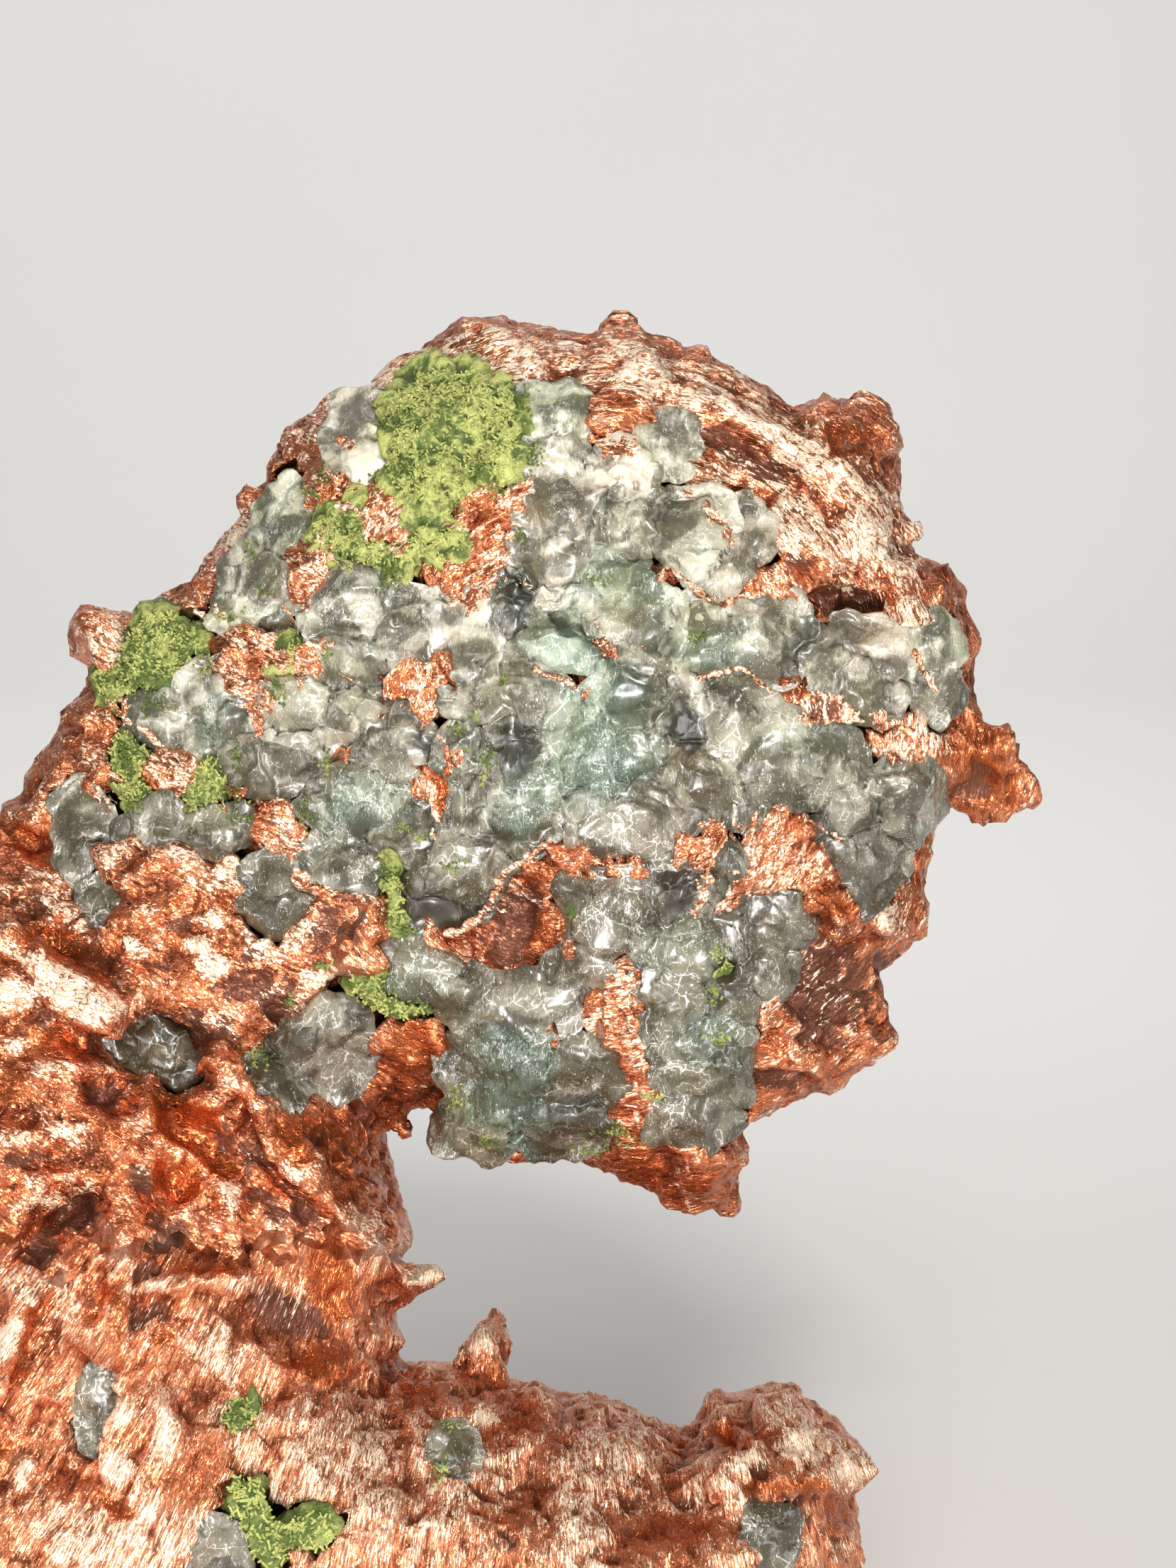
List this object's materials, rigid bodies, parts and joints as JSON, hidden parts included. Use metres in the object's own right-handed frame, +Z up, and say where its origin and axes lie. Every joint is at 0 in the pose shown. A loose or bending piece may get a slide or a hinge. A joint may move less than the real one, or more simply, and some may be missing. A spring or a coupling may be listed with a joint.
{
  "type": "native copper specimen",
  "caption": "Upright mass of hackly native copper, its face set with quartz grains and green epidote, with a C-shaped notch, thin spikes and a flat seat.",
  "frame": {"origin": "a point on the flat seat under the copper foot", "axes": "+Z up from the seat, +X to the right of the quartz face, -Y out of the quartz face towards the viewer"},
  "size_m": [0.0459, 0.032, 0.0491],
  "materials": {
    "copper": "bright, finely wrinkled raw copper",
    "quartz": "glassy, translucent, milky to smoky grains",
    "epidote": "granular, matte yellow-green"
  },
  "bodies": {
    "root": {"copper_mass": "copper", "epidote_back_high": "epidote", "epidote_back_low": "epidote", "epidote_band": "epidote", "epidote_crown": "epidote", "epidote_flank": "epidote", "epidote_foot": "epidote", "epidote_knee": "epidote", "epidote_pocket": "epidote", "epidote_sprig": "epidote", "epidote_streak": "epidote", "epidote_stud": "epidote", "epidote_tuft": "epidote", "epidote_vein": "epidote", "quartz_back_bead": "quartz", "quartz_back_high": "quartz", "quartz_back_left": "quartz", "quartz_back_low": "quartz", "quartz_back_side": "quartz", "quartz_bead": "quartz", "quartz_brow": "quartz", "quartz_bud": "quartz", "quartz_cheek": "quartz", "quartz_chin": "quartz", "quartz_crest": "quartz", "quartz_drop": "quartz", "quartz_flank": "quartz", "quartz_heart": "quartz", "quartz_heel": "quartz", "quartz_lip": "quartz", "quartz_pea": "quartz", "quartz_pebble": "quartz", "quartz_peg": "quartz", "quartz_pip": "quartz", "quartz_plate": "quartz", "quartz_pocket_left": "quartz", "quartz_pocket_right": "quartz", "quartz_shard": "quartz", "quartz_shelf": "quartz", "quartz_shoulder": "quartz", "quartz_sliver": "quartz", "quartz_temple": "quartz", "quartz_toe": "quartz", "quartz_tooth": "quartz"}
  },
  "joints": []
}
